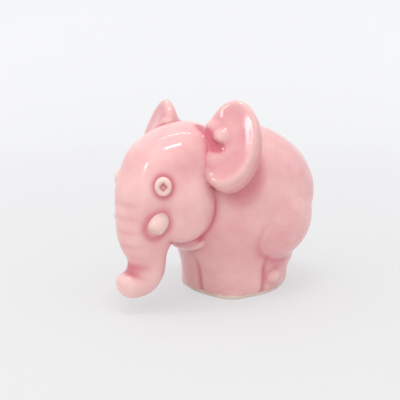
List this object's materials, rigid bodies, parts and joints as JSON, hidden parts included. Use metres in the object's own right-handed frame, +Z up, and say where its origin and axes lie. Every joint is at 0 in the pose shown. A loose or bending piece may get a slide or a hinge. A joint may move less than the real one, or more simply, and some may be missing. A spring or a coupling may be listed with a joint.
{
  "type": "elephant figurine",
  "caption": "Small hollow slip-cast ceramic elephant figurine with flared ears, curled trunk, stub tusks and merged legs on a flat unglazed base",
  "frame": {"origin": "middle of the flat base, on the surface it stands on", "axes": "+Z up, the elephant faces -Y, its own left side is +X"},
  "size_m": [0.0508, 0.0751, 0.062],
  "materials": {
    "pink_glaze": "glossy pink glaze over cream earthenware",
    "white_glaze": "glossy off-white glaze with pink bleeding in at the edges"
  },
  "bodies": {
    "root": {"torso": "pink_glaze", "head": "pink_glaze", "ear_left": "pink_glaze", "ear_right": "pink_glaze", "tail": "pink_glaze", "eye_left": "white_glaze", "eye_right": "white_glaze", "tusk_left": "white_glaze", "tusk_right": "white_glaze"}
  },
  "joints": []
}
